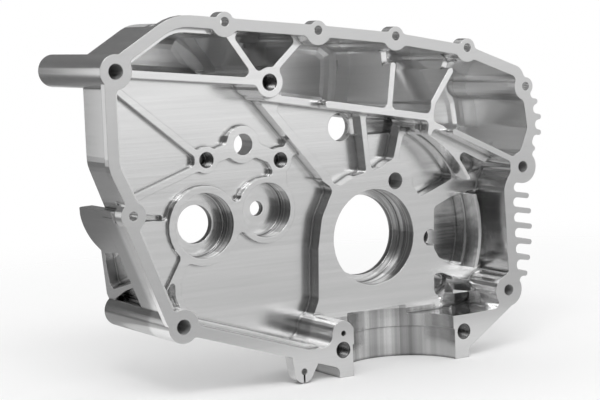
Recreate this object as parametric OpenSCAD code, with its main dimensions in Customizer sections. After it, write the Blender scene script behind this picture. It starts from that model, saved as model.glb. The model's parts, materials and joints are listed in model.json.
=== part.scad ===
// Gearbox housing half, milled from one block of aluminium.
// X runs along the cylinder deck, Y runs from the joint face into the housing, Z is up.
// The origin is the centre of the main bearing on the plane of the joint face.

/* [Main sizes] */
// Left edge of the joint face from the main bearing
case_left = 232.5; // [229:0.5:236]
// Right edge of the joint face from the main bearing
case_right = 127.5; // [127.5:0.5:129]
// Top corner of the joint face above the main bearing
case_top = 171; // [171:0.5:174]

/* [Joint face] */
// Width of the joint face around the chambers
flange_w = 8; // [6:0.5:10]
// Thickness of the lip behind the joint face
lip_t = 6; // [4:0.5:9]
// Set-back of the outer wall behind the lip, sump side
wall_inset = 4; // [2:0.5:4.5]
// Set-back of the outer wall behind the lip, gear side
gear_wall_inset = 6.5; // [4:0.5:7.5]
// Thickness of the outer wall on the gear side
gear_wall_t = 5; // [4:0.5:8]
// Cutter radius in the corners of the chambers
corner_r = 4; // [2:0.5:6]
// Radius at the foot of the sump walls
sump_foot_r = 9; // [3:0.5:10]

/* [Depths from the joint face] */
// Face of the main bearing boss and of the ribs beside it
boss_y = 36; // [30:1:40]
// Face of the small bosses and their ribs
low_boss_y = 42; // [41:0.5:44]
// Face of the pad beside the first shaft bearing
pad_y = 45; // [44.5:0.5:46]
// Floor of the gear and crank chambers
floor_y = 48; // [47:0.5:50]
// Back face of the housing
back_y = 57; // [56:0.5:62]
// Floor of the sump
sump_floor_y = 88; // [76:1:92]
// Thickness of the sump floor
sump_floor_t = 5; // [4:0.5:8]
// Thickness of the sump wall behind the back face
sump_wall_t = 4; // [3:0.5:5]
// Top of the ribs on the left of the sump
left_rib_y = 14; // [10:1:20]
// Top of the ribs on the right of the sump
right_rib_y = 8; // [5:0.5:12]
// Crest of the crank chamber wall and floor of the oil passages across the ribs
notch_y = 18.5; // [17:0.5:24]

/* [Ribs] */
// Thickness of the partition between sump and gears
partition_t = 5; // [3.5:0.5:7]
// Thickness of the sump ribs
rib_t = 4.6; // [3:0.2:6.5]
// Thickness of the ribs on the chamber floor
floor_rib_t = 6; // [4:0.5:9]
// Thickness of the two ribs beside the main bearing
short_rib_t = 4.5; // [3:0.5:6]
// Thickness of the low ribs round the gear chamber
low_rib_t = 4.6; // [3:0.2:7]
// Thickness of the rib that stands up to the joint face
face_rib_t = 4.2; // [3:0.2:6]

/* [Main bearing] */
// Bearing seat diameter
main_seat_d = 72; // [62:1:80]
// Bearing seat depth
main_seat_depth = 20; // [16:0.5:23]
// Hole through the shoulder
main_hole_d = 61; // [40:1:61]
// Shoulder thickness
main_lip_t = 5; // [3:0.5:8]
// Diameter of the hub on the back
main_hub_d = 86; // [82:1:98]

/* [First shaft bearing] */
// Distance left of the main bearing
shaft1_left = 139.8; // [136:0.2:144]
// Height above the main bearing
shaft1_up = 21; // [18:0.5:24]
// Bearing seat diameter
seat1_d = 47; // [40:1:50]
// Bearing seat depth
seat1_depth = 15.5; // [10:0.5:17]
// Hole through the shoulder
seat1_hole_d = 28; // [16:1:34]
// Diameter of the boss around the seat
boss1_d = 57; // [54:1:60]

/* [Second shaft bearing] */
// Distance left of the main bearing
shaft2_left = 88.4; // [86:0.2:91]
// Height above the main bearing
shaft2_up = 27.8; // [25:0.2:30]
// Bearing seat diameter
seat2_d = 40; // [32:1:42]
// Bearing seat depth
seat2_depth = 15.5; // [10:0.5:17]
// Hole through the shoulder
seat2_hole_d = 11; // [6:1:20]
// Diameter of the boss around the seat
boss2_d = 48; // [45:1:51]

/* [Bolts] */
// Clearance hole of the two long through bolts
through_bolt_d = 10.5; // [8.5:0.5:12.5]
// Outer diameter of the through bolt tubes
tube_d = 23; // [18:0.5:26]
// Reach of the tubes behind the joint face
tube_reach = 101; // [90:1:115]
// Clearance hole of the bolts beside the crank chamber
case_bolt_d = 8.5; // [6.5:0.5:10.5]
// Diameter of their bosses
case_boss_d = 25; // [20:0.5:27]
// Clearance hole of the bolts along the rim
rim_bolt_d = 6.5; // [5.5:0.5:8.5]
// Diameter of the rim bolt lugs outside the wall
rim_lug_d = 13.6; // [12:0.2:16]
// Diameter of the rim bolt pillars inside the wall
rim_pillar_d = 21.2; // [19:0.2:23]
// Thickness of the rim bolt lugs
rim_lug_t = 10; // [6:0.5:14]
// Cylinder stud hole
stud_d = 12; // [8:0.5:14]
// Distance between the two cylinder studs
stud_span = 108; // [104:1:112]

/* [Cylinder spigot] */
// Diameter of the half bore for the cylinder
spigot_d = 89.4; // [80:0.2:90]
// Diameter of the register at the mouth of the half bore
register_d = 91.6; // [90.5:0.1:92.5]
// Height of the register above the cylinder deck
register_h = 23; // [10:1:32]
// Height of the main bearing above the cylinder deck
deck_down = 93.5; // [90:0.5:98]
// Top of the half bore below the main bearing
spigot_top_down = 54.4; // [50:0.2:58]

/* [Crank chamber] */
// Radius of the crank chamber wall
crank_r = 84.5; // [82:0.5:86]
// Thickness of the crank chamber wall
crank_wall_t = 2.6; // [2:0.2:5]
// Depth of the relief turned into the crank chamber wall
crank_relief = 1; // [0.2:0.1:1.4]

/* [Small bosses and holes] */
// Hole of the idler boss
idler_hole_d = 15.4; // [10:0.2:18]
// Diameter of the idler boss
idler_boss_d = 27; // [25:0.5:29]
// Diameter of the two threaded bosses beside it
stud_boss_d = 19; // [17:0.5:20]
// Holes of the threaded bosses
stud_hole_d = 11.5; // [6:0.5:13]
// Diameter of the column between the sump ribs
column_d = 21.5; // [19:0.5:24]
// Threaded hole in the column
column_hole_d = 12; // [6:0.5:14]
// Oil holes beside the main bearing
oil_hole_d = 12.5; // [8:0.5:14]
// Breather hole under the partition
vent_d = 21; // [16:0.5:22]
// Drain hole below the crank chamber
drain_d = 9; // [5:0.5:10]
// Locating pin hole beside the cylinder spigot
pin_d = 4; // [3:0.5:6]
// Hole of the keyhole lug
lug_hole_d = 4.6; // [3:0.2:6]
// Depth of the local pockets below the chamber floor
pocket_depth = 5; // [2:0.5:7]

/* [Cooling fins] */
// Thickness of a fin
fin_t = 4.2; // [2.5:0.1:5.5]
// Distance between fins
fin_pitch = 11.9; // [10:0.1:13]
// Radius of the tips of the lower fins about the main bearing
fin_tip_r = 121.5; // [116:0.5:126]
// Tilt of the fins against the cylinder deck
fin_tilt = 9.5; // [0:0.5:12]

/* [Hidden] */
$fn = 64;

// Overlap where one cut runs past a face
over = 1;
// Distance that is outside the housing on every side
beyond = 260;
up = [0, beyond];
// What a cut stays inside a wall that it would only touch
hair = 0.05;
// What a plate stays inside a round boss that it carries
core = 0.8;
// Angle between two points of a rounded corner
arc_step = 10;
// Radius that blends the bosses into the outside of the rim
blend_r = 5;

// Radius between the fins, always less than half their gap
fin_root_r = min(3.5, (fin_pitch - fin_t) / 2 - 0.3);
// Thickness of the rib between the side pad and the pocket beside it
thin_rib_t = 2.2;
// Round stretches of a rib end
tip_step = 22.5;

// Bolt positions on the joint face, X and Z
bolt_a = [-case_left + 8.5, case_top - 36.5];
bolt_b = [-case_left + 50.5, -41];
bolt_c = [case_right - 13.5, 46];
bolt_d = [case_right - 30, -47];
corner_bolt = [-case_left + 16.5, 38];
rim_bolts = [
    [-case_left + 92, case_top - 6.5],
    [-65.5, case_top - 15],
    [0.5, case_top - 21.5],
    [64.5, case_top - 32.5],
    [case_right - 9, 107]
];
corner_lug_d = 18;
stud_down = 73.5;
pin_c = [-53.3, -61.5];

// Centres of the bearings and of the small bosses
main_c = [0, 0];
shaft1_c = [-shaft1_left, shaft1_up];
shaft2_c = [-shaft2_left, shaft2_up];
idler_c = [-106.1, 76.6];
stud1_c = [-136.3, 67.6];
stud2_c = [-75.4, 63.1];
column_c = [-98.5, 121];
oil_holes = [[20.8, 40.6], [51.5, -5.5]];
drain_c = [63, -40.4];
oil_boss_d = 32;
vent_c = [-19.5, 83.2];
lug_c = [-87.4, -84.8];

// Line of the partition between the sump and the chambers below it
partition = [bolt_a - [0, 0.7], [-98.5, 120.5], [-98.5, 110.2], [32, 88.7], [38, 84], [104, 53]];

// Faces on the back
sump_back_y = sump_floor_y + sump_floor_t;
main_back_y = boss_y + main_seat_depth + main_lip_t;
// Shoulder behind the two small bearings and wall around them
hub_lip_t = 5.5;
hub_wall_t = 6;
// Chamfer along the back edge on the gear side
back_chamfer = 10;
// Depths between which the relief is turned into the crank chamber wall
relief_y = [23, boss_y];

// Outlines that each hold one compartment of the sump, with their edges inside the ribs
sump_cells = [
    [[-beyond, 118], column_c - [0, 5], column_c, rim_bolts[0], rim_bolts[0] + up, [-beyond, beyond]],
    [column_c, rim_bolts[0], rim_bolts[0] + up, rim_bolts[1] + up, rim_bolts[1]],
    [column_c, [-98.5, 100], [-2, 85], rim_bolts[2], rim_bolts[2] + up, rim_bolts[1] + up, rim_bolts[1]],
    [[-2, 85], [36, 75], [38, 99], rim_bolts[3], rim_bolts[3] + up, rim_bolts[2] + up, rim_bolts[2]],
    [[36, 75], [beyond, -beyond / 2], [beyond, beyond], rim_bolts[3] + up, rim_bolts[3], [38, 99]]
];

// Right side of the joint face between the two case bolts
side_x = case_right - 23.9;

// Lower left side of the joint face, from the corner bolt down to the long bolt
side_top = [-case_left + 8.5, 36];
side_foot = [-case_left + 38, -38];
side_tilt = atan2(side_foot[0] - side_top[0], side_top[1] - side_foot[1]);

// Corners of an outline are given as X, Z and radius
function unit(v) = v / norm(v);
function arc_points(c, r, a0, a1, step) =
    let (n = max(2, ceil(abs(a1 - a0) / step)))
    [for (i = [0:n]) c + r * [cos(a0 + (a1 - a0) * i / n), sin(a0 + (a1 - a0) * i / n)]];
function corner(p, q, s, r) =
    let (
        u = unit(p - q),
        w = unit(s - q),
        half = acos(u * w) / 2,
        c = q + unit(u + w) * r / sin(half),
        from = q + u * r / tan(half) - c,
        to = q + w * r / tan(half) - c,
        a0 = atan2(from[1], from[0]),
        turn = atan2(from[0] * to[1] - from[1] * to[0], from * to)
    )
    arc_points(c, r, a0, a0 + turn, arc_step);
function rounded(pts) =
    let (n = len(pts), xz = [for (p = pts) [p[0], p[1]]])
    [for (i = [0:n - 1])
        each (pts[i][2] > 0
            ? corner(xz[(i + n - 1) % n], xz[i], xz[(i + 1) % n], pts[i][2])
            : [xz[i]])];

// Extrude an X-Z outline from depth y0 to depth y1
module slab(y0, y1) {
    translate([0, y1, 0])
        rotate([90, 0, 0])
            linear_extrude(height = y1 - y0)
                children();
}

// Round bar or hole along Y
module along(p, d, y0, y1) {
    translate([p[0], y1, p[1]])
        rotate([90, 0, 0])
            cylinder(d = d, h = y1 - y0);
}

module disc(p, d) {
    translate(p)
        circle(d = d, $fn = max(24, round(d / 2)));
}

// Straight rib with round ends between two points
module strip(p, q, w) {
    a = atan2(q[1] - p[1], q[0] - p[0]);
    polygon(concat(
        arc_points(q, w / 2, a - 90, a + 90, tip_step),
        arc_points(p, w / 2, a + 90, a + 270, tip_step)
    ));
}

// Fill the inner corners of an outline
module blended(r) {
    offset(r = -r, $fn = 32)
        offset(delta = r)
            children();
}

// Round the inner corners of a pocket as the cutter leaves them
module milled(r) {
    offset(r = r, $fn = 32)
        offset(delta = -r)
            children();
}

// Outline of the joint face without bosses and fins, clockwise from the upper left
module case_outline() {
    polygon(rounded([
        [-case_left, case_top - 32, 0],
        [-case_left + 53, case_top, 38],
        [-65.5, case_top - 11.4, 0],
        [0.5, case_top - 19.2, 0],
        [64.5, case_top - 30.8, 0],
        [case_right - 13, 121.3, 10],
        [case_right - 3, 96, 15],
        [case_right, 74, 15],
        [case_right - 7.5, 56, 0],
        [side_x, 30, 8],
        [side_x + 2.6, -34, 0],
        [side_x + 2.9, -55, 0],
        [58, -87, 6],
        [58, -deck_down, 0],
        [-57.5, -deck_down, 0],
        [-57.5, -86.2, 0],
        [-case_left + 42.5, -43.5, 0],
        [side_foot[0], side_foot[1], 0],
        [side_top[0], side_top[1], 0],
        [-case_left + 14, 40, 0],
        [-case_left, 70, 30]
    ]));
}

// Joint face with its bosses
module rim_outline() {
    blended(blend_r) {
        case_outline();
        disc(bolt_a, tube_d - core);
        disc(bolt_b, tube_d - core);
        disc(bolt_c, case_boss_d - core);
        disc(bolt_d, case_boss_d - core);
        disc(corner_bolt, corner_lug_d - core);
        for (p = rim_bolts)
            disc(p, rim_lug_d - core);
    }
}

// Part of the outline on the gear side, where the wall is set back further
module gear_side() {
    polygon([
        [-beyond, -beyond],
        [-72, -beyond],
        [-72, -50],
        [-150, 100],
        [-150, beyond],
        [-beyond, beyond]
    ]);
}

module wall_outline() {
    difference() {
        offset(delta = -wall_inset)
            case_outline();
        gear_side();
    }
    intersection() {
        offset(delta = -gear_wall_inset)
            case_outline();
        gear_side();
    }
    intersection() {
        offset(delta = -wall_inset)
            rim_outline();
        translate([90, -80])
            square([50, 220]);
    }
}

// The sump reaches behind the back face, with its upper left side set back once more
module sump_outline(inset) {
    intersection() {
        offset(delta = -wall_inset - inset)
            case_outline();
        above_partition(partition_t - inset);
        offset(delta = -inset)
            polygon(rounded([
                [-case_left + 5.8, case_top - 41.7, 0],
                [-case_left + 63.8, case_top - 6.6, 25],
                [-60, case_top - 1, 0],
                [beyond, case_top - 1, 0],
                [beyond, 0, 0],
                [-case_left + 5.8, 0, 0]
            ]));
    }
}

module above_partition(spread) {
    offset(delta = spread)
        polygon(concat(partition, [
            [case_right + 12.5, 60],
            [case_right + 12.5, beyond],
            [-beyond, beyond],
            [-beyond, partition[0][1]]
        ]));
}

// Space inside the rim, bosses left standing
module chamber_outline(ledge) {
    difference() {
        union() {
            difference() {
                offset(delta = -flange_w)
                    case_outline();
                if (ledge)
                    gear_side();
            }
            intersection() {
                offset(delta = -(ledge ? gear_wall_inset + gear_wall_t : flange_w))
                    case_outline();
                gear_side();
            }
        }
        disc(bolt_a, tube_d + 1);
        disc(bolt_b, tube_d + 1);
        disc(bolt_c, case_boss_d - 1);
        disc(bolt_d, case_boss_d - 1);
        disc(corner_bolt, corner_lug_d + 1);
        for (p = rim_bolts)
            disc(p, rim_pillar_d);
        deck_block();
    }
}

// Solid around the cylinder spigot, up to the joint face
module deck_block() {
    blended(9) {
        disc([-53.8, -61], 17.6);
        polygon([[-62.6, -61], [-45, -61], [-30, -61], [62, -60.8], [86, -60], [112, -62], [60, -110],
            [-62.6, -110]]);
        translate([-120, -110])
            square([62, 40]);
    }
}

// Ribs of the sump, named after the side they stand on
module left_ribs() {
    strip(partition[0], column_c, partition_t);
    strip(rim_bolts[0] + [8, -6], column_c + [-6.5, 0], rib_t);
    strip(rim_bolts[1] - [6, 6], column_c + [5.2, 9.4], rib_t);
    disc(column_c, column_d);
}

module right_ribs() {
    strip([-54, 103], partition[3], partition_t);
    strip([-2, 95], [2.8, 128], rib_t);
    strip([38, 99], [54.5, 121.5], rib_t);
    strip([38, 99], [34, 77], 3.8);
    strip([36, 83.6], [46, 79], 4.2);
}

module passage_ribs() {
    strip([2.8, 126], rim_bolts[2], rib_t);
    strip([54.5, 121.5], rim_bolts[3] - [5, 6], rib_t);
    strip(partition[2], [-54, 103], partition_t);
}

module face_rib() {
    strip([51, 76.8], [104, 52.5], face_rib_t);
}

module sump_ribs() {
    face_rib();
    right_ribs();
    left_ribs();
    passage_ribs();
}

// Curved wall of the crank chamber, from the second rib round to the lower band
module crank_ring(r, t) {
    intersection() {
        difference() {
            disc(main_c, 2 * (r + t));
            disc(main_c, 2 * r);
        }
        polygon([[0, 0], [50, 150], [200, 150], [200, -90]]);
    }
}

// The curved wall with the straight wall beside the face rib
module crank_walls() {
    crank_ring(crank_r, crank_wall_t);
    strip([44, 75], [92, 51.5], crank_wall_t);
}

// Above the plateau the walls leave a gap where its arm to the upper case bolt passes
module high_crank_walls() {
    difference() {
        crank_walls();
        bearing_plateau();
    }
}

// Plateau around the main bearing with the tall ribs of the chamber floor
module bearing_plateau() {
    polygon(rounded([
        [-44, 46, 0],
        [-34.6, 39, 5],
        [-45.5, 18.5, 20],
        [-49.5, -4, 20],
        [-50.8, -42, 12],
        [-58, -58, 0],
        [-58, -70, 0],
        [110, -70, 0],
        [110, -36, 0],
        [74, -29, 0],
        [59, -21.5, 6],
        [54.6, -14, 6],
        [55.8, 17.6, 0],
        [73, 24.6, 0],
        [112, 31.8, 0],
        [112, 45.1, 0],
        [71.6, 37.1, 0],
        [43, 26.4, 0],
        [36, 37, 9],
        [24, 56, 0],
        [14, 53, 5],
        [0, 49.5, 5],
        [-16, 47, 5],
        [-30, 40, 5],
        [-42, 49.5, 0]
    ]));
    disc(oil_holes[0], oil_boss_d);
    strip([-90.5, 106], [-39, 46.5], floor_rib_t);
    strip([-6.8, 92], [-2.8, 50], short_rib_t);
    strip([28.6, 80], [20.5, 52], short_rib_t);
}

// Small bosses with the low ribs between them
module low_bosses() {
    blended(4) {
        disc(shaft1_c, boss1_d);
        disc(shaft2_c, boss2_d);
        strip(shaft1_c, shaft2_c, 20);
        strip([-75, 46], stud2_c, 9);
    }
    blended(4) {
        disc(stud1_c, stud_boss_d);
        disc(idler_c, idler_boss_d);
        disc(stud2_c, stud_boss_d);
        strip(stud1_c, idler_c, 10);
        strip(idler_c, stud2_c, 10);
    }
    strip([-case_left + 28.5, 120.8], [-144, 72.3], low_rib_t);
    strip([-143, 62.5], [-case_left + 32.5, 43], low_rib_t);
    strip([-156, -2], [-163.2, -16.5], low_rib_t);
    strip([-163.2, -16.5], [-163, -27], low_rib_t);
    strip([-163, -27], [-157, -42], low_rib_t);
    strip([-159, -1], [-178, -33], thin_rib_t);
}

// Raised pad beside the first shaft bearing
module side_pad() {
    polygon([[-case_left + 17.5, 28.8], [-172, 27.4], [-169, 18.6], [-166, 8], [-160, -1], [-178, -34], [-200, -34]]);
}

// One milled level of the chambers; the children are left standing
module level(y0, y1) {
    slab(y0, y1)
        milled(corner_r)
            difference() {
                chamber_outline(y0 >= lip_t);
                children();
            }
}

// Chambers milled from the joint face, one level after the other
module chambers() {
    level(-over, lip_t)
        face_rib();
    level(lip_t, right_rib_y)
        face_rib();
    level(right_rib_y, left_rib_y) {
        face_rib();
        right_ribs();
    }
    level(left_rib_y, notch_y) {
        face_rib();
        right_ribs();
        left_ribs();
    }
    level(notch_y, boss_y) {
        sump_ribs();
        high_crank_walls();
    }
    level(boss_y, low_boss_y) {
        sump_ribs();
        crank_walls();
        bearing_plateau();
    }
    level(low_boss_y, pad_y) {
        sump_ribs();
        crank_walls();
        bearing_plateau();
        low_bosses();
    }
    level(pad_y, floor_y) {
        sump_ribs();
        crank_walls();
        bearing_plateau();
        low_bosses();
        side_pad();
    }
    slab(relief_y[0], relief_y[1])
        crank_ring(crank_r - over, crank_relief + over);
    slab(floor_y, sump_floor_y - sump_foot_r)
        sump_section();
    sump_foot();
}

// Compartments of the sump behind the chamber floor
module sump_section() {
    milled(corner_r)
        difference() {
            intersection() {
                chamber_outline(true);
                sump_outline(sump_wall_t);
            }
            sump_ribs();
        }
}

// The foot of each compartment narrows along the radius of the cutter
module sump_foot() {
    steps = 4;
    layer_t = 0.2;
    from_y = sump_floor_y - sump_foot_r;
    difference() {
        for (cell = sump_cells)
            hull()
                for (i = [0:steps])
                    let (a = 90 * i / steps, y = from_y + sump_foot_r * sin(a))
                    slab(y - (i == 0 ? over : layer_t), y)
                        offset(delta = -hair - sump_foot_r * (1 - cos(a)))
                            intersection() {
                                sump_section();
                                polygon(cell);
                            }
        slab(from_y - 2 * over, sump_back_y) {
            for (p = rim_bolts)
                disc(p, rim_pillar_d + 2 * hair);
            disc(bolt_a, tube_d + over + 2 * hair);
        }
    }
}

// Local pockets below the levels, given as depth of the floor, cutter radius and outline
module pocket(from_y, to_y, r) {
    slab(from_y - over, to_y)
        milled(r)
            children();
}

module pockets() {
    deep_y = floor_y + pocket_depth;
    drain_floor_y = 45;
    pocket(floor_y, deep_y, 3)
        polygon([[-13, 90.5], [-13, 76], [30, 76], [34, 84], [30, 86]]);
    pocket(low_boss_y, deep_y, 1)
        strip([-case_left + 32.5, 32.4], [-172.6, 29.2], 4.4);
    pocket(low_boss_y, deep_y, 2)
        polygon([[-160.5, -6], [-171, -20.5], [-180, -30], [-170, -37], [-165.6, -29], [-165.6, -16]]);
    pocket(boss_y, drain_floor_y, 3)
        polygon([[54, -33.5], [62, -33.5], [71, -38], [74, -44.5], [59, -53], [54, -48]]);
    pocket(boss_y, floor_y - over, 2)
        polygon([[78, -60], [75.5, -52.5], [84, -48], [95, -50], [95, -58], [89, -61]]);
    // Sloping facet between the two lower pockets
    translate([58, boss_y, -60.6])
        rotate([0, 0, 13])
            translate([0, -20, 0])
                cube([27, 20, 12]);
}

// Sloped face that closes the crank chamber at the bottom
module lower_slope() {
    translate([66, 0, -30])
        rotate([0, 11, 0])
            rotate([90, 0, 90])
                linear_extrude(height = 46)
                    polygon([[24, -16], [46, -1], [50, -1], [50, -34], [24, -34]]);
}

module outer_body() {
    slab(0, lip_t)
        finned()
            rim_outline();
    slab(lip_t, back_y)
        difference() {
            finned()
                wall_outline();
            gear_side();
        }
    intersection() {
        hull() {
            slab(lip_t, back_y - back_chamfer)
                gear_shell(-over);
            slab(lip_t, back_y)
                gear_shell(back_chamfer);
        }
        slab(lip_t, back_y)
            intersection() {
                wall_outline();
                gear_side();
            }
    }
    slab(lip_t, back_y)
        intersection() {
            rim_outline();
            translate([-80, -100])
                square([142, 50]);
        }
    slab(back_y - over, sump_back_y)
        sump_outline(0);
    side_web();
    along(bolt_a, tube_d, 0, tube_reach);
    along(bolt_b, tube_d, 0, tube_reach);
    along(bolt_c, case_boss_d, 0, back_y);
    along(bolt_d, case_boss_d, 0, back_y);
    along(main_c, main_hub_d, floor_y + over, main_back_y);
    along(shaft1_c, seat1_d + 2 * hub_wall_t, floor_y + over, low_boss_y + seat1_depth + hub_lip_t);
    along(shaft2_c, seat2_d + 2 * hub_wall_t, floor_y + over, low_boss_y + seat2_depth + hub_lip_t);
    for (p = rim_bolts)
        along(p, rim_lug_d, 0, rim_lug_t);
    along(corner_bolt, corner_lug_d, 0, rim_lug_t);
    lug();
}

// Gear side of the case seen as a convex plate
module gear_shell(inset) {
    offset(delta = -gear_wall_inset - inset)
        polygon(rounded([
            [-case_left, case_top - 32, 0],
            [-case_left + 53, case_top, 38],
            [-60, case_top - 12, 0],
            [-60, -85.4, 0],
            [-case_left + 42.5, -43.5, 0],
            [side_foot[0], side_foot[1], 0],
            [side_top[0], side_top[1], 0],
            [-case_left, 70, 30]
        ]));
}

// An outline with the fins on its right side and the gaps between them rounded
module finned() {
    blended(fin_root_r) {
        children();
        fins();
    }
}

// Each fin runs from inside the wall out to its tip
module fins() {
    low_z = -36.2;
    low_root_x = side_x - wall_inset;
    high_root_x = case_right - 15.5;
    high_tips = [-1.2, 5, 5.3, 2.3];
    for (i = [0:5])
        fin(low_root_x, [sqrt(fin_tip_r * fin_tip_r - pow(low_z + i * fin_pitch, 2)), low_z + i * fin_pitch]);
    for (i = [0:3])
        fin(high_root_x, [case_right + high_tips[i], low_z + (i + 8) * fin_pitch]);
}

module fin(root_x, tip) {
    slope = -tan(fin_tilt);
    end_x = tip[0] - fin_t / 2;
    strip([root_x, tip[1] + (root_x - tip[0]) * slope], [end_x, tip[1] + (end_x - tip[0]) * slope], fin_t);
}

// Web outside the lower left wall, reaching back to the long bolt tube.
// Its outlines are given along Y and down the wall.
module side_web() {
    web_t = 10.5;
    skin_t = 2;
    root_y = 26;
    set_back = gear_wall_inset + 0.4;
    top = [side_top[0] + set_back * cos(side_tilt), side_top[1] + set_back * sin(side_tilt)];
    intersection() {
        translate([top[0], 0, top[1]])
            rotate([0, -side_tilt, 0])
                rotate([90, 0, 90])
                    difference() {
                        linear_extrude(height = web_t)
                            polygon(rounded([
                                [root_y, 0, 0],
                                [83, -0.5, 0],
                                [97, -20, 18],
                                [77, -34, 0],
                                [101, -72, 0],
                                [101, -86, 0],
                                [root_y, -86, 0]
                            ]));
                        translate([0, 0, -over])
                            linear_extrude(height = web_t - skin_t)
                                milled(3) {
                                    polygon([[73, -36], [48, -33], [40.5, -37], [42, -55.5], [90, -67.5], [81, -49]]);
                                    polygon([[97, -84], [91.5, -75.5], [65.3, -65.3], [42, -58.8], [46, -77],
                                        [92, -86]]);
                                }
                    }
        translate([-tube_reach * 3, 0, top[1] - tube_reach])
            cube([tube_reach * 3, tube_reach + over, tube_reach]);
    }
}

// Keyhole lug under the bottom of the joint face
module lug() {
    slab(0, rim_lug_t) {
        disc(lug_c, 16);
        polygon([[-97.5, -70], [-95.3, -83.5], [-88, -88], [-80.2, -88], [-73, -76]]);
    }
}

// Bearing seat with a smaller hole through its shoulder
module seat(c, seat_d, seat_depth, hole_d, face_y, shoulder_t) {
    along(c, seat_d, face_y - over, face_y + seat_depth);
    along(c, hole_d, face_y, face_y + seat_depth + shoulder_t + over);
}

// Blind or through hole from a face down
module hole(c, d, face_y, to_y) {
    along(c, d, face_y - over, to_y);
}

// Holes of the rim bolts, with room for the bolt heads behind the lugs
module rim_holes() {
    head_d = rim_lug_d + 0.6;
    corner_head_d = 16;
    corner_head_y = 32;
    for (p = rim_bolts) {
        hole(p, rim_bolt_d, 0, rim_lug_t + over);
        along(p, head_d, rim_lug_t, sump_back_y + over);
    }
    hole(corner_bolt, rim_bolt_d, 0, rim_lug_t + over);
    along(corner_bolt, corner_head_d, rim_lug_t, corner_head_y);
}

module bores() {
    stud_depth = 30;
    pin_depth = 14;
    column_hole_y = 40;
    oil_hole_y = boss_y + 16;
    thread_y = floor_y + pocket_depth;
    lug_slot = 1.6;
    seat(main_c, main_seat_d, main_seat_depth, main_hole_d, boss_y, main_lip_t);
    seat(shaft1_c, seat1_d, seat1_depth, seat1_hole_d, low_boss_y, hub_lip_t);
    seat(shaft2_c, seat2_d, seat2_depth, seat2_hole_d, low_boss_y, hub_lip_t);
    for (p = [bolt_a, bolt_b])
        hole(p, through_bolt_d, 0, tube_reach + over);
    for (p = [bolt_c, bolt_d])
        hole(p, case_bolt_d, 0, back_y + over);
    rim_holes();
    for (side = [-1, 1])
        hole([side * stud_span / 2, -stud_down], stud_d, 0, stud_depth);
    hole(pin_c, pin_d, 0, pin_depth);
    hole(idler_c, idler_hole_d, low_boss_y, back_y + over);
    for (p = [stud1_c, stud2_c])
        hole(p, stud_hole_d, low_boss_y, thread_y);
    hole(column_c, column_hole_d, left_rib_y, column_hole_y);
    for (p = oil_holes)
        hole(p, oil_hole_d, boss_y, oil_hole_y);
    hole(drain_c, drain_d, boss_y, back_y + over);
    hole(vent_c, vent_d, floor_y, back_y + over);
    hole(lug_c, lug_hole_d, 0, rim_lug_t + over);
    translate([lug_c[0] - lug_slot / 2, -over, lug_c[1] - 9])
        cube([lug_slot, rim_lug_t + 2 * over, 9]);
}

// Half bore for the foot of the cylinder
module spigot() {
    translate([0, 0, -deck_down - over])
        cylinder(d = spigot_d, h = deck_down + over - spigot_top_down);
    translate([0, 0, -deck_down - over])
        cylinder(d = register_d, h = register_h + over);
}

module housing() {
    color("silver")
        difference() {
            outer_body();
            difference() {
                chambers();
                lower_slope();
            }
            pockets();
            spigot();
            bores();
        }
}

housing();
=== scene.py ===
import json
import math

import bpy
from mathutils import Matrix, Vector


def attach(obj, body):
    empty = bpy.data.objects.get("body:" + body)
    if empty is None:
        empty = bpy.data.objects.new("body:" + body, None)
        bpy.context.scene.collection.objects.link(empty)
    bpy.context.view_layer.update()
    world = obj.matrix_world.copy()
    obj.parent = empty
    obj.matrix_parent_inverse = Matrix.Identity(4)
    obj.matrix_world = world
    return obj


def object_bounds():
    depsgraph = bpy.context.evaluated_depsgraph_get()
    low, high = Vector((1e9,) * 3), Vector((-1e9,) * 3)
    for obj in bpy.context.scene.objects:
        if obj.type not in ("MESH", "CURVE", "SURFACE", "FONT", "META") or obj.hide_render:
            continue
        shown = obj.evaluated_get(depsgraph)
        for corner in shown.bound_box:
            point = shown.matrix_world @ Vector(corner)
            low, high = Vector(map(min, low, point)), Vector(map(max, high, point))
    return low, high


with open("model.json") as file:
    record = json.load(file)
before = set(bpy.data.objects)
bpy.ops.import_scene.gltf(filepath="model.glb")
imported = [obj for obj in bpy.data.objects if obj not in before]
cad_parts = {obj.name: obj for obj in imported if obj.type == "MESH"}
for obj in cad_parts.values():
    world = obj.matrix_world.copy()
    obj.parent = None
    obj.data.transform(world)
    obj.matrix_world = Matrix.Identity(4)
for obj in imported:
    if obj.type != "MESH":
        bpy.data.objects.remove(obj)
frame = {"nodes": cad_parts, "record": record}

# All places and sizes are in metres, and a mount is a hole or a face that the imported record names
cad_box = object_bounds()
mounts = {mount["name"]: mount for mount in frame["record"]["mounts"]}
MM = 0.001


def new_object(name, data):
    obj = bpy.data.objects.new(name, data)
    bpy.context.scene.collection.objects.link(obj)
    return obj


# Camera: its axes and its place come from the ellipses of the round holes in the photograph
CAMERA_RIGHT = (0.85056, -0.52454, -0.03744)
CAMERA_UP = (0.085915, 0.06836, 0.99395)
CAMERA_BACK = (-0.51881, -0.84864, 0.10321)
CAMERA_PLACE = Vector((-734.29, -1060.80, 166.75)) * MM
IMAGE_WIDTH = 600.0
FOCAL_PIXELS = 1777.0
SENSOR_WIDTH = 36.0
CLIP_START = 0.05
CLIP_END = 50.0

camera_data = bpy.data.cameras.new("camera")
camera_data.sensor_width = SENSOR_WIDTH
camera_data.lens = FOCAL_PIXELS / IMAGE_WIDTH * SENSOR_WIDTH
camera_data.clip_start = CLIP_START
camera_data.clip_end = CLIP_END
camera = new_object("camera", camera_data)
camera_rows = zip(CAMERA_RIGHT, CAMERA_UP, CAMERA_BACK, CAMERA_PLACE)
camera.matrix_world = Matrix((*camera_rows, (0.0, 0.0, 0.0, 1.0)))
bpy.context.scene.camera = camera


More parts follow.
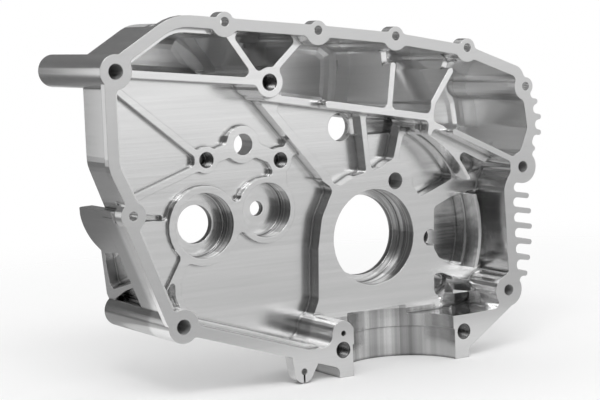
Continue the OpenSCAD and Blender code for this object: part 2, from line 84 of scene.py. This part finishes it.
class Tree:
    """Short calls that build a shader tree. A mask is 1 where something holds and 0 elsewhere."""

    def __init__(self, owner):
        owner.use_nodes = True
        self.tree = owner.node_tree
        self.tree.nodes.clear()

    def add(self, kind, **settings):
        node = self.tree.nodes.new(kind)
        for key, value in settings.items():
            setattr(node, key, value)
        return node

    def put(self, socket, value):
        """Links a socket to another node's output, or sets it to a plain value."""
        if isinstance(value, bpy.types.NodeSocket):
            self.tree.links.new(value, socket)
        else:
            socket.default_value = value

    def fill(self, node, *values):
        """Gives the first inputs of a node their values and returns its first output."""
        for socket, value in zip(node.inputs, values):
            self.put(socket, value)
        return node.outputs[0]

    def place(self):
        return self.add("ShaderNodeTexCoord").outputs["Object"]

    def split(self, vector):
        node = self.add("ShaderNodeSeparateXYZ")
        self.fill(node, vector)
        return node.outputs

    def join(self, x, y, z):
        return self.fill(self.add("ShaderNodeCombineXYZ"), x, y, z)

    def math(self, operation, *values):
        return self.fill(self.add("ShaderNodeMath", operation=operation), *values)

    def vector(self, operation, *values):
        return self.fill(self.add("ShaderNodeVectorMath", operation=operation), *values)

    def length(self, x, y, z):
        node = self.add("ShaderNodeVectorMath", operation="LENGTH")
        self.fill(node, self.join(x, y, z))
        return node.outputs["Value"]

    def mix(self, factor, a, b):
        node = self.add("ShaderNodeMix", data_type="FLOAT")
        self.put(node.inputs[0], factor)
        self.put(node.inputs[2], a)
        self.put(node.inputs[3], b)
        return node.outputs[0]

    def mix_vector(self, factor, a, b):
        node = self.add("ShaderNodeMix", data_type="VECTOR")
        self.put(node.inputs[0], factor)
        self.put(node.inputs[4], a)
        self.put(node.inputs[5], b)
        return node.outputs[1]

    def ramp(self, value, low, high, to_low=0.0, to_high=1.0):
        """Soft change from to_low, at low, to to_high, at high."""
        node = self.add("ShaderNodeMapRange", interpolation_type="SMOOTHSTEP")
        return self.fill(node, value, low, high, to_low, to_high)

    def above(self, value, limit):
        return self.math("GREATER_THAN", value, limit)

    def below(self, value, limit):
        return self.math("LESS_THAN", value, limit)

    def either(self, a, b):
        return self.math("MAXIMUM", a, b)

    def opposite(self, mask):
        return self.math("SUBTRACT", 1.0, mask)

    def product(self, first, *others):
        """Product of values; for masks, the mask of where all of them hold."""
        for other in others:
            first = self.math("MULTIPLY", first, other)
        return first

    def noise(self, vector, scale, detail, rough):
        node = self.add("ShaderNodeTexNoise")
        for name, value in (("Vector", vector), ("Scale", scale), ("Detail", detail), ("Roughness", rough)):
            self.put(node.inputs[name], value)
        return node.outputs[0]

    def streaks(self, x, y, z, stretch, detail=2.0, rough=0.6):
        """Noise drawn out along the axes: a larger number in stretch makes it finer along that axis."""
        return self.noise(self.vector("MULTIPLY", self.join(x, y, z), stretch), 1.0, detail, rough)

    def tones(self, noise, reach, low, high):
        """Noise as a tone: low where it is reach under its middle, high where it is reach over it."""
        return self.ramp(noise, 0.5 - reach, 0.5 + reach, low, high)

    def swing(self, noise, amount):
        """Noise round 0, its whole range as large as amount."""
        return self.math("MULTIPLY", self.math("SUBTRACT", noise, 0.5), amount)

    def openness(self, distance):
        """1 on open surfaces, less in corners and grooves."""
        node = self.add("ShaderNodeAmbientOcclusion", samples=OPEN_SAMPLES)
        node.inputs["Distance"].default_value = distance
        return node.outputs["AO"]

    def rounded(self, radius, samples):
        """Normal of the surface as if its edges were rounded."""
        node = self.add("ShaderNodeBevel", samples=samples)
        node.inputs["Radius"].default_value = radius
        return node.outputs[0]

    def show(self, surface, kind="ShaderNodeOutputMaterial"):
        self.put(self.add(kind).inputs["Surface"], surface)


def new_material(name):
    material = bpy.data.materials.new(name)
    return material, Tree(material)


# Bare aluminium, and the tones that darken it in some places; those in drilled holes, in corners and on the
# left side are painted shade
ALUMINIUM = 0.84
JOINT_TONE = 0.80
DRILLED_SHADE = 0.80
CORNER_SHADE = 0.42
LEFT_SHADE = 0.62

# Roughness
ROUGH_WALL = 0.19
ROUGH_FLAT = 0.20
ROUGH_JOINT = 0.30
ROUGH_DULL = 0.36
ROUGH_DRILLED = 0.55
ROUGH_LINES = 0.10

# Radii of edges and of the feet of walls, and how far a corner reaches along the walls beside it
EDGE_RADIUS = 0.5 * MM
FOOT_RADIUS = 2.4 * MM
CORNER_REACH = 3.0 * MM
CORNER_OPEN = (0.55, 0.95)
EDGE_SAMPLES = 6
FOOT_SAMPLES = 8
OPEN_SAMPLES = 8

# Cutter lines: how far they draw out the shine, their depth, and their strength on walls, on flats inside
# and on the joint face
GRAIN = 0.45
LINE_DEPTH = 0.03 * MM
LINE_STRENGTH = (0.35, 0.5, 0.12)
# How much the stripes change the tone: broad ones on the same three, fine ones inside and on the joint face
SWEEP_SWING = (0.0, 0.26, 0.07)
LINE_SWING = (0.12, 0.07)

# Turned seats and drilled holes: mounts whose finish reaches a little past their radius
SEATS = ("main_bearing_seat", "first_shaft_seat", "second_shaft_seat")
SEAT_RIM = 0.4 * MM
BOLT_HOLES = ("upper_through_bolt", "lower_through_bolt", "upper_case_bolt", "lower_case_bolt")
BOLT_RIM = 0.25 * MM
# Drilled holes without a mount: centre X, centre Z, and how far the finish reaches
PLAIN_HOLES = (
    (-0.0533, -0.0615, 0.0022),
    (0.0208, 0.0406, 0.0066),
    (0.0515, -0.0055, 0.0066),
    (-0.0874, -0.0848, 0.0026),
)

# Where the finish changes, by place and by direction of the surface. A pair is the start and the end of
# a soft change.
FLAT_NORMAL = (0.80, 0.95)
JOINT_DEPTH = (0.0004, 0.0006)
CRANK_FROM_X = (0.050, 0.074)
CRANK_FROM_Y = 0.0365
CRANK_MIDDLE_Z = 0.012
CRANK_HALF_HEIGHT = (0.046, 0.056)
CRANK_FLOOR_TO_X = 0.110
LEFT_TO_X = -0.180
LEFT_FROM_Y = 0.012
POCKET_Z = (-0.028, 0.0)
PLATE_FROM_Y = (0.026, 0.034)
PLATE_TO_Z = 0.040
FACING_LEFT = -0.5
SUMP_FROM_X = -0.205
SUMP_FROM_Y = (0.058, 0.066)
SUMP_FROM_Z = 0.030
OUTER_LEFT = -0.3
OUTER_UP = 0.3
BORE_TO_Z = (-0.0570, -0.0565)
BORE_HALF_WIDTH = 0.0541
BORE_FROM_Y = 0.0006

# How fine the marks of the tools are along X, Y and Z. In place of X the rings and the steps take the
# distance from their axis, and the grooves take it in place of Z.
FLAT_LINES = (4.0, 1.0, 700.0)
FLAT_SWEEPS = (6.0, 1.0, 190.0)
WALL_LINES = (420.0, 14.0, 420.0)
SEAT_RINGS = (900.0, 900.0, 1.0)
SEAT_GROOVES = (1.0, 430.0, 60.0)
BORE_BANDS = (110.0, 3.0, 1.0)
CRANK_STEPS = (210.0, 40.0, 1.0)

# Tones of these marks: reach, low and high. In the bore and on the crank floor they stay under 1, so there
# they also paint shade over the whole surface.
GROOVE_TONES = (0.10, 0.45, 1.18)
BORE_SHADE_TONES = (0.16, 0.42, 0.80)
STEP_TONES = (0.15, 0.68, 1.18)
CRANK_FLOOR_SHADE = (0.15, 0.50, 0.90)

# Threads: noise per metre, tones and roughness of its marks, and the painted shade that darkens them all
# over, most in the grooves
THREAD_NOISE = 900.0
THREAD_TONES = (0.2, 0.85, 1.0)
THREAD_ROUGH = (0.2, 0.24, 0.36)
THREAD_SHADE_REACH = 1.2 * MM
THREAD_SHADE_OPEN = (0.15, 0.75)
THREAD_SHADE_TONES = (0.06, 0.20)


class Surface:
    """A point of the housing: its place, its normal, and the masks of flats, walls and the joint face."""

    def __init__(self, tree):
        self.tree = tree
        self.x, self.y, self.z = tree.split(tree.place())
        normal = tree.add("ShaderNodeNewGeometry").outputs["Normal"]
        self.normal_x, normal_y, self.normal_z = tree.split(normal)
        self.flat = tree.ramp(tree.math("ABSOLUTE", normal_y), *FLAT_NORMAL)
        self.wall = tree.opposite(self.flat)
        self.joint = tree.ramp(self.y, *JOINT_DEPTH, 1.0, 0.0)

    def from_axis(self, centre_x, centre_z):
        """How far the point lies from an axis along Y: along X, along Z, and straight."""
        across = self.tree.math("SUBTRACT", self.x, centre_x)
        upward = self.tree.math("SUBTRACT", self.z, centre_z)
        return across, upward, self.tree.length(across, 0.0, upward)

    def kinds(self, wall, flat, joint):
        """One value for walls, one for flats inside and one for the joint face."""
        return self.tree.mix(self.flat, wall, self.tree.mix(self.joint, flat, joint))


def metal(tree, shade, roughness):
    """Shader of bare aluminium, its colour multiplied by shade."""
    color = tree.add("ShaderNodeVectorMath", operation="SCALE")
    color.inputs[0].default_value = (ALUMINIUM, ALUMINIUM, ALUMINIUM)
    tree.put(color.inputs["Scale"], shade)
    shader = tree.add("ShaderNodeBsdfPrincipled")
    shader.inputs["Metallic"].default_value = 1.0
    tree.put(shader.inputs["Base Color"], color.outputs["Vector"])
    tree.put(shader.inputs["Roughness"], roughness)
    return shader


def turned_seats(tree, at):
    """Mask of the turned seats, the distance from the axis of each, and the direction round it."""
    turned, radius, around = 0.0, 0.0, (0.0, 0.0, 0.0)
    for name in SEATS:
        centre_x, _, centre_z = mounts[name]["pos_m"]
        across, upward, distance = at.from_axis(centre_x, centre_z)
        inside = tree.below(distance, mounts[name]["dims"]["r_mm"] * MM + SEAT_RIM)
        turned = tree.either(turned, inside)
        radius = tree.mix(inside, radius, distance)
        tangent = tree.join(upward, 0.0, tree.product(across, -1.0))
        around = tree.mix_vector(inside, around, tree.vector("NORMALIZE", tangent))
    return turned, radius, around


def drilled_holes(tree, at):
    """Mask of the drilled holes, whose walls are dull and painted darker as shade."""
    circles = list(PLAIN_HOLES)
    for name in BOLT_HOLES:
        centre_x, _, centre_z = mounts[name]["pos_m"]
        circles.append((centre_x, centre_z, mounts[name]["dims"]["r_mm"] * MM + BOLT_RIM))
    drilled = 0.0
    for centre_x, centre_z, reach in circles:
        distance = at.from_axis(centre_x, centre_z)[2]
        drilled = tree.either(drilled, tree.below(distance, reach))
    return drilled


def crank_side(tree, at):
    """Mask of the part of the crank chamber that is turned round the main axis."""
    height = tree.math("ABSOLUTE", tree.math("SUBTRACT", at.z, CRANK_MIDDLE_Z))
    level = tree.ramp(height, *CRANK_HALF_HEIGHT, 1.0, 0.0)
    return tree.product(tree.ramp(at.x, *CRANK_FROM_X), tree.above(at.y, CRANK_FROM_Y), level)


def left_pocket(tree, at):
    """Mask of the open pocket under the left side, which is painted darker as shade."""
    level = tree.product(tree.below(at.z, POCKET_Z[1]), tree.above(at.z, POCKET_Z[0]))
    left = tree.product(tree.below(at.x, LEFT_TO_X), tree.above(at.y, LEFT_FROM_Y))
    return tree.product(level, left, tree.above(at.normal_x, FACING_LEFT))


def left_plate(tree, at):
    """Mask of the plate above that pocket, which is painted darker as shade too."""
    deep = tree.ramp(at.y, *PLATE_FROM_Y)
    return tree.product(deep, tree.below(at.z, PLATE_TO_Z), tree.below(at.normal_x, FACING_LEFT))


def sump(tree, at):
    """Mask of the inside of the lubricant sump. The outer wall that slopes up to the left isn't in it."""
    outer = tree.product(tree.above(at.normal_z, OUTER_UP), tree.below(at.normal_x, OUTER_LEFT))
    inside = tree.product(tree.above(at.x, SUMP_FROM_X), tree.above(at.z, SUMP_FROM_Z))
    return tree.product(tree.ramp(at.y, *SUMP_FROM_Y), inside, tree.opposite(outer))


def cylinder_bore(tree, at):
    """Mask of the bored half circle for the foot of the cylinder, painted darker as shade in bands."""
    between = tree.below(tree.math("ABSOLUTE", at.x), BORE_HALF_WIDTH)
    return tree.product(tree.ramp(at.z, *BORE_TO_Z, 1.0, 0.0), between, tree.above(at.y, BORE_FROM_Y))


def cutter_lines(tree, at, turned, radius):
    """Fine lines of the tools: along X on flats, round the axis in seats, along Y on walls."""
    on_flats = tree.streaks(at.x, at.y, at.z, FLAT_LINES, 3.0)
    on_walls = tree.streaks(at.x, at.y, at.z, WALL_LINES, 3.0)
    in_seats = tree.streaks(radius, at.y, 0.0, SEAT_RINGS)
    return tree.mix(turned, tree.mix(at.flat, on_walls, on_flats), in_seats)


def relief(tree, at, lines, large):
    """Normal with small radii at the edges, cutter radii where large holds, and the cutter lines."""
    small = tree.rounded(EDGE_RADIUS, EDGE_SAMPLES)
    radii = tree.mix_vector(large, small, tree.rounded(FOOT_RADIUS, FOOT_SAMPLES))
    bump = tree.add("ShaderNodeBump")
    bump.inputs["Distance"].default_value = LINE_DEPTH
    tree.put(bump.inputs["Height"], lines)
    tree.put(bump.inputs["Normal"], tree.vector("NORMALIZE", radii))
    tree.put(bump.inputs["Strength"], at.kinds(*LINE_STRENGTH))
    return bump.outputs[0]


def machined_aluminium():
    """Milled and turned aluminium: cutter lines, bright radii, dull holes, and painted shade in holes,
    corners, the bore, the crank floor and on the left side.
    """
    material, tree = new_material("machined_aluminium")
    at = Surface(tree)
    turned, radius, around = turned_seats(tree, at)
    drilled = drilled_holes(tree, at)
    crank = crank_side(tree, at)
    pocket = left_pocket(tree, at)
    corner = tree.ramp(tree.openness(CORNER_REACH), *CORNER_OPEN, 1.0, 0.0)
    lines = cutter_lines(tree, at, turned, radius)
    sweeps = tree.streaks(at.x, at.y, at.z, FLAT_SWEEPS)

    dull = tree.either(pocket, sump(tree, at))
    finish = tree.mix(dull, at.kinds(ROUGH_WALL, ROUGH_FLAT, ROUGH_JOINT), ROUGH_DULL)
    finish = tree.mix(drilled, finish, ROUGH_DRILLED)
    roughness = tree.math("ADD", finish, tree.swing(lines, ROUGH_LINES))

    # Lighter and darker stripes that the cutter leaves
    shade = tree.math("ADD", 1.0, tree.swing(sweeps, at.kinds(*SWEEP_SWING)))
    shade = tree.math("ADD", shade, tree.swing(lines, tree.mix(at.joint, *LINE_SWING)))

    # Places with a tone of their own: the mask, and the tone or the marks in it
    grooves = tree.streaks(0.0, at.y, radius, SEAT_GROOVES)
    bands = tree.streaks(at.x, at.y, 0.0, BORE_BANDS, 3.0)
    from_crank = at.from_axis(0.0, 0.0)[2]
    steps = tree.streaks(from_crank, at.y, 0.0, CRANK_STEPS, rough=0.5)
    crank_floor = tree.product(crank, at.flat, tree.below(at.x, CRANK_FLOOR_TO_X))
    places = (
        (at.joint, JOINT_TONE),
        # painted shade inside the drilled holes
        (drilled, DRILLED_SHADE),
        # painted shade in the corners, found by occlusion
        (tree.product(corner, tree.opposite(at.joint)), CORNER_SHADE),
        (tree.product(turned, at.wall), tree.tones(grooves, *GROOVE_TONES)),
        # painted shade in the bore, in random bands
        (cylinder_bore(tree, at), tree.tones(bands, *BORE_SHADE_TONES)),
        (tree.product(crank, at.wall), tree.tones(steps, *STEP_TONES)),
        # painted shade on the crank floor, with the cutter's stripes in it
        (crank_floor, tree.tones(sweeps, *CRANK_FLOOR_SHADE)),
        # painted shade on the left pocket and the plate above it
        (tree.either(pocket, left_plate(tree, at)), LEFT_SHADE),
    )
    for mask, tone in places:
        shade = tree.product(shade, tree.mix(mask, 1.0, tone))

    shader = metal(tree, shade, roughness)
    along = tree.mix_vector(at.flat, (0.0, 1.0, 0.0), (1.0, 0.0, 0.0))
    shader.inputs["Anisotropic"].default_value = GRAIN
    tree.put(shader.inputs["Tangent"], tree.mix_vector(turned, along, around))
    tree.put(shader.inputs["Normal"], relief(tree, at, lines, tree.either(corner, crank)))
    tree.show(shader.outputs[0])
    return material


def tapped_aluminium():
    """Threads: cut bright, then painted dark as shade, darkest in the grooves."""
    material, tree = new_material("tapped_aluminium")
    marks = tree.noise(tree.place(), THREAD_NOISE, 3.0, 0.6)
    # painted shade: dark all over, darkest in the grooves
    thread_shade = tree.ramp(tree.openness(THREAD_SHADE_REACH), *THREAD_SHADE_OPEN, *THREAD_SHADE_TONES)
    shade = tree.product(thread_shade, tree.tones(marks, *THREAD_TONES))
    tree.show(metal(tree, shade, tree.tones(marks, *THREAD_ROUGH)).outputs[0])
    return material


housing = frame["nodes"]["housing"]
housing.data.materials.clear()
housing.data.materials.append(machined_aluminium())
for polygon in housing.data.polygons:
    polygon.material_index = 0

# Threads in the tapped holes: pitches, and how far a thread stays from the mouth and from the bottom
COARSE = 1.75 * MM
FINE = 1.5 * MM
FROM_MOUTH = 1.0 * MM
FROM_BOTTOM = 0.5 * MM
STUD_DEPTH = 30.0 * MM
# The two stud holes share one mount, and lie to its left and right by a share of their spacing
STUDS = (("thread_cylinder_left", -0.5), ("thread_cylinder_right", 0.5))
TAPPED = (
    ("thread_boss_left", "first_thread", FINE),
    ("thread_boss_right", "second_thread", FINE),
    ("thread_column", "column_thread", COARSE),
)
# Form of a thread: height of its crests as a share of the pitch, slope of its flanks, its gap to the wall
# of the hole, and how far its closed back lies behind that wall
CREST = 0.55
FLANK = 2.6
ROOT_GAP = 0.04 * MM
BACK_DEPTH = 0.3 * MM
# Points in each ring, and rings in each turn
AROUND = 48
PER_TURN = 8


def thread(name, centre_x, centre_z, radius, mouth, bottom, pitch, material):
    """Closed sleeve with a screw thread inside, for a hole along Y. Its back lies in the metal."""
    first, last = mouth + FROM_MOUTH, bottom - FROM_BOTTOM
    rows = int(round((last - first) / pitch * PER_TURN, 3))
    vertices = []

    def add_point(column, y, from_axis):
        angle = column / AROUND * 2.0 * math.pi
        x = centre_x + from_axis * math.cos(angle)
        z = centre_z + from_axis * math.sin(angle)
        vertices.append((x, y, z))

    for row in range(rows + 1):
        y = first + (last - first) * row / rows
        for column in range(AROUND):
            phase = ((y - first) / pitch - column / AROUND) % 1.0
            height = max(0.0, 1.0 - abs(phase - 0.5) * FLANK)
            add_point(column, y, radius - ROOT_GAP - CREST * pitch * height)
    for y in (last, first):
        for column in range(AROUND):
            add_point(column, y, radius + BACK_DEPTH)

    faces = []
    rings = len(vertices) // AROUND
    for ring in range(rings):
        here, there = ring * AROUND, (ring + 1) % rings * AROUND
        for column in range(AROUND):
            beside = (column + 1) % AROUND
            faces.append((here + column, here + beside, there + beside, there + column))
    mesh = bpy.data.meshes.new(name)
    mesh.from_pydata(vertices, [], faces)
    mesh.materials.append(material)
    obj = new_object(name, mesh)
    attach(obj, "root")


tapped = tapped_aluminium()
stud_x, stud_y, stud_z = mounts["cylinder_studs"]["pos_m"]
stud_sizes = mounts["cylinder_studs"]["dims"]
stud_radius = stud_sizes["hole_r_mm"] * MM
for name, side in STUDS:
    centre_x = stud_x + side * stud_sizes["spacing_x_mm"] * MM
    thread(name, centre_x, stud_z, stud_radius, stud_y, stud_y + STUD_DEPTH, COARSE, tapped)
for name, mount, pitch in TAPPED:
    centre_x, middle, centre_z = mounts[mount]["pos_m"]
    radius = mounts[mount]["dims"]["r_mm"] * MM
    half = mounts[mount]["dims"]["length_mm"] / 2 * MM
    thread(name, centre_x, centre_z, radius, middle - half, middle + half, pitch, tapped)

# Stage: a pale floor just under the housing, which fades into the white background
FLOOR_Z = cad_box[0][2] - 0.1 * MM
FLOOR_SIZE = (6.0, 6.0)
FLOOR_TONE = 0.93
FLOOR_FADE = (0.30, 0.95)
UP = (0.0, 0.0, 1.0)

# Cards that only reflections see: dark, grey and bright areas under an open white top
CARD_TONES = {"dark": 0.12, "deep": 0.16, "shade": 0.23, "pale": 0.52, "bright": 0.95, "light": 0.98}
# The rising card changes along itself: where it starts and ends, its tone at the start, and at the end. Its
# darker start, near the housing, is painted shade of the housing's shadow on the floor, seen only in
# reflections.
RISE = (-0.50, 0.15, 0.95)
RISEN_TONE = 0.44
CARDS = (
    # Name, centre, size, direction that it faces, tone
    ("card_behind_camera", (-1.05, -1.75, 0.25), (2.4, 1.9), (0.52, 0.85, 0.0), "dark"),
    ("card_floor_left", (-0.95, -0.80, -0.086), (1.5, 1.4), UP, "dark"),
    ("card_back_left", (-1.45, 1.30, 0.19), (1.8, 0.62), (0.75, -0.65, 0.0), "bright"),
    ("card_back_high", (-0.3, 1.60, 0.86), (3.4, 0.80), (0.0, -0.8, -0.6), "deep"),
    ("card_back", (0.9, 1.75, 0.30), (3.2, 0.80), (-0.3, -0.95, 0.0), "deep"),
    ("card_floor_back", (-0.1, 0.85, -0.087), (3.0, 1.4), UP, "rising"),
    # painted shade: a dark sheet on the floor behind the housing, seen only in reflections
    ("card_floor_shade", (-0.15, 0.49, -0.0865), (0.80, 0.38), UP, "shade"),
    ("card_front_right", (1.35, -1.55, 0.35), (2.9, 1.0), (-0.65, 0.76, 0.0), "light"),
    ("card_floor_right", (0.80, -1.00, -0.088), (2.0, 1.8), UP, "pale"),
    ("card_behind_bores", (-0.26, 0.50, 0.02), (0.34, 0.50), (0.52, -0.85, 0.0), "deep"),
)

# Soft key light above the camera, and the white surroundings, as light and as they are seen
KEY_PLACE = Vector((-0.6, -1.0, 1.3))
KEY_AIM = Vector((-0.05, 0.0, 0.05))
KEY_SIZE = (0.9, 0.5)
KEY_POWER = 9.0
WORLD_LIGHT = 0.9
WORLD_SEEN = 1.0
# Light reaches the floors of the deep pockets only after many reflections
REFLECTIONS = 12
BOUNCES = 16


def plain(name, tone, fade=None, rise=None):
    """Matt grey, which may fade out away from its middle, or change to its tone from another along Y."""
    material, tree = new_material(name)
    shader = tree.add("ShaderNodeBsdfDiffuse")
    shader.inputs["Color"].default_value = (tone, tone, tone, 1.0)
    surface = shader.outputs[0]
    if rise:
        start, end, start_tone = rise
        along = tree.split(tree.place())[1]
        risen = tree.ramp(along, start, end, start_tone, tone)
        tree.put(shader.inputs["Color"], tree.join(risen, risen, risen))
    if fade:
        x, y, _ = tree.split(tree.place())
        gone = tree.ramp(tree.length(x, y, 0.0), *fade)
        clear = tree.add("ShaderNodeBsdfTransparent").outputs[0]
        surface = tree.fill(tree.add("ShaderNodeMixShader"), gone, surface, clear)
    tree.show(surface)
    return material


def card(name, centre, size, facing, material):
    """Flat card that faces in a direction."""
    right, up = size[0] / 2, size[1] / 2
    corners = [(-right, -up, 0), (right, -up, 0), (right, up, 0), (-right, up, 0)]
    mesh = bpy.data.meshes.new(name)
    mesh.from_pydata(corners, [], [(0, 1, 2, 3)])
    mesh.materials.append(material)
    obj = new_object(name, mesh)
    obj.location = centre
    obj.rotation_euler = Vector(facing).to_track_quat("Z", "Y").to_euler()
    return obj


card("floor", (0.0, 0.0, FLOOR_Z), FLOOR_SIZE, UP, plain("floor_white", FLOOR_TONE, fade=FLOOR_FADE))
card_materials = {key: plain("card_" + key, tone) for key, tone in CARD_TONES.items()}
card_materials["rising"] = plain("card_rising", RISEN_TONE, rise=RISE)
for name, centre, size, facing, tone in CARDS:
    reflected = card(name, centre, size, facing, card_materials[tone])
    reflected.visible_camera = False
    reflected.visible_shadow = False
    reflected.visible_diffuse = False

key_data = bpy.data.lights.new("key", "AREA")
key_data.shape = "RECTANGLE"
key_data.size, key_data.size_y = KEY_SIZE
key_data.energy = KEY_POWER
key = new_object("key", key_data)
key.location = KEY_PLACE
key.rotation_euler = (KEY_AIM - KEY_PLACE).to_track_quat("-Z", "Y").to_euler()

world = bpy.data.worlds.new("studio")
bpy.context.scene.world = world
world_tree = Tree(world)
path = world_tree.add("ShaderNodeLightPath").outputs
reflection = world_tree.either(path["Is Glossy Ray"], path["Is Transmission Ray"])
seen = world_tree.either(path["Is Camera Ray"], reflection)
background = world_tree.add("ShaderNodeBackground")
background.inputs["Color"].default_value = (1.0, 1.0, 1.0, 1.0)
world_tree.put(background.inputs["Strength"], world_tree.mix(seen, WORLD_LIGHT, WORLD_SEEN))
world_tree.show(background.outputs[0], "ShaderNodeOutputWorld")

bpy.context.scene.view_settings.view_transform = "Standard"
bpy.context.scene.cycles.glossy_bounces = REFLECTIONS
bpy.context.scene.cycles.max_bounces = BOUNCES
